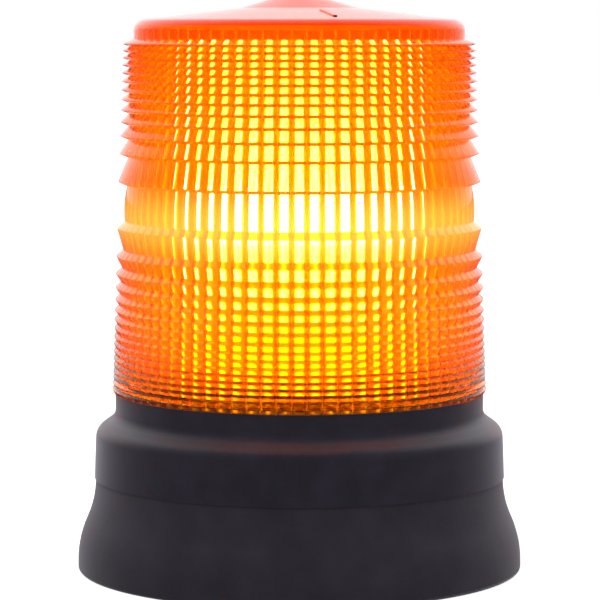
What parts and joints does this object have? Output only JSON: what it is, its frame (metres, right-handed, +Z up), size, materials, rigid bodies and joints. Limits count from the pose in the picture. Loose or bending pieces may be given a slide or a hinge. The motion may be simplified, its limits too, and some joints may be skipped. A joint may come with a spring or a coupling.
{
  "type": "barricade warning light",
  "caption": "Amber beacon-type warning light: ribbed drum lens screwed onto a round black housing in a flared rubber skirt.",
  "frame": {"origin": "on the ground at the centre of the rubber skirt's foot", "axes": "+Z up along the light's axis of symmetry, -Y towards the front (the raised mark on the dome)"},
  "size_m": [0.15, 0.15, 0.1918],
  "materials": {
    "skirt_rubber": "matte",
    "housing_plastic": "matte",
    "lens_amber": "gloss",
    "seal_rubber": "matte",
    "pillar_plastic": "satin",
    "fastener_steel": "satin",
    "insert_brass": "satin",
    "tray_plastic": "matte",
    "cell_can": "gloss",
    "contact_nickel": "satin",
    "switch_plastic": "satin",
    "button_plastic": "satin",
    "board_laminate": "satin",
    "capacitor_can": "gloss",
    "ferrite": "matte",
    "copper_winding": "satin",
    "trigger_epoxy": "gloss",
    "package_epoxy": "matte",
    "cover_plastic": "matte",
    "socket_ceramic": "satin",
    "tube_glass": "gloss",
    "electrode_metal": "satin",
    "cover_glass": "gloss",
    "lead_red": "satin",
    "lead_black": "satin"
  },
  "bodies": {
    "base": {"base_housing": "housing_plastic", "battery_cells": "cell_can", "battery_tray": "tray_plastic", "board_screws": "fastener_steel", "bottom_plate": "housing_plastic", "circuit_board": "board_laminate", "component_cover": "cover_plastic", "contact_plates": "contact_nickel", "contact_springs": "contact_nickel", "flash_tube": "tube_glass", "lamp_pillar": "pillar_plastic", "main_capacitor": "capacitor_can", "mounting_inserts": "insert_brass", "pillar_screws": "fastener_steel", "plate_screws": "fastener_steel", "plate_seal": "seal_rubber", "power_transistor": "package_epoxy", "rubber_skirt": "skirt_rubber", "supply_lead_black": "lead_black", "supply_lead_red": "lead_red", "switch_body": "switch_plastic", "switch_nut": "contact_nickel", "transformer_core": "ferrite", "transformer_winding": "copper_winding", "trigger_coil": "trigger_epoxy", "trigger_wire": "contact_nickel", "tube_cover": "cover_glass", "tube_electrodes": "electrode_metal", "tube_leads": "lead_black", "tube_socket": "socket_ceramic"},
    "lens_carrier": {"lens_seal": "seal_rubber"},
    "lens": {"lens": "lens_amber"},
    "button": {"switch_button": "button_plastic"}
  },
  "joints": [
    {"name": "lens_rise", "type": "slide", "parent": "base", "child": "lens_carrier", "axis": [0, 0, 1], "range_m": [0, 0.008]},
    {"name": "lens_twist", "type": "hinge", "parent": "lens_carrier", "child": "lens", "pos_m": [0, 0, 0.06], "axis": [0, 0, 1], "range_deg": [0, 120]},
    {"name": "button_press", "type": "slide", "parent": "base", "child": "button", "axis": [0, 0, 1], "range_m": [0, 0.0012], "stiffness_N_per_m": 800}
  ],
  "couplings": [
    {"joint": "lens_rise", "follows": "lens_twist", "m_per_rad": 0.0038197}
  ]
}
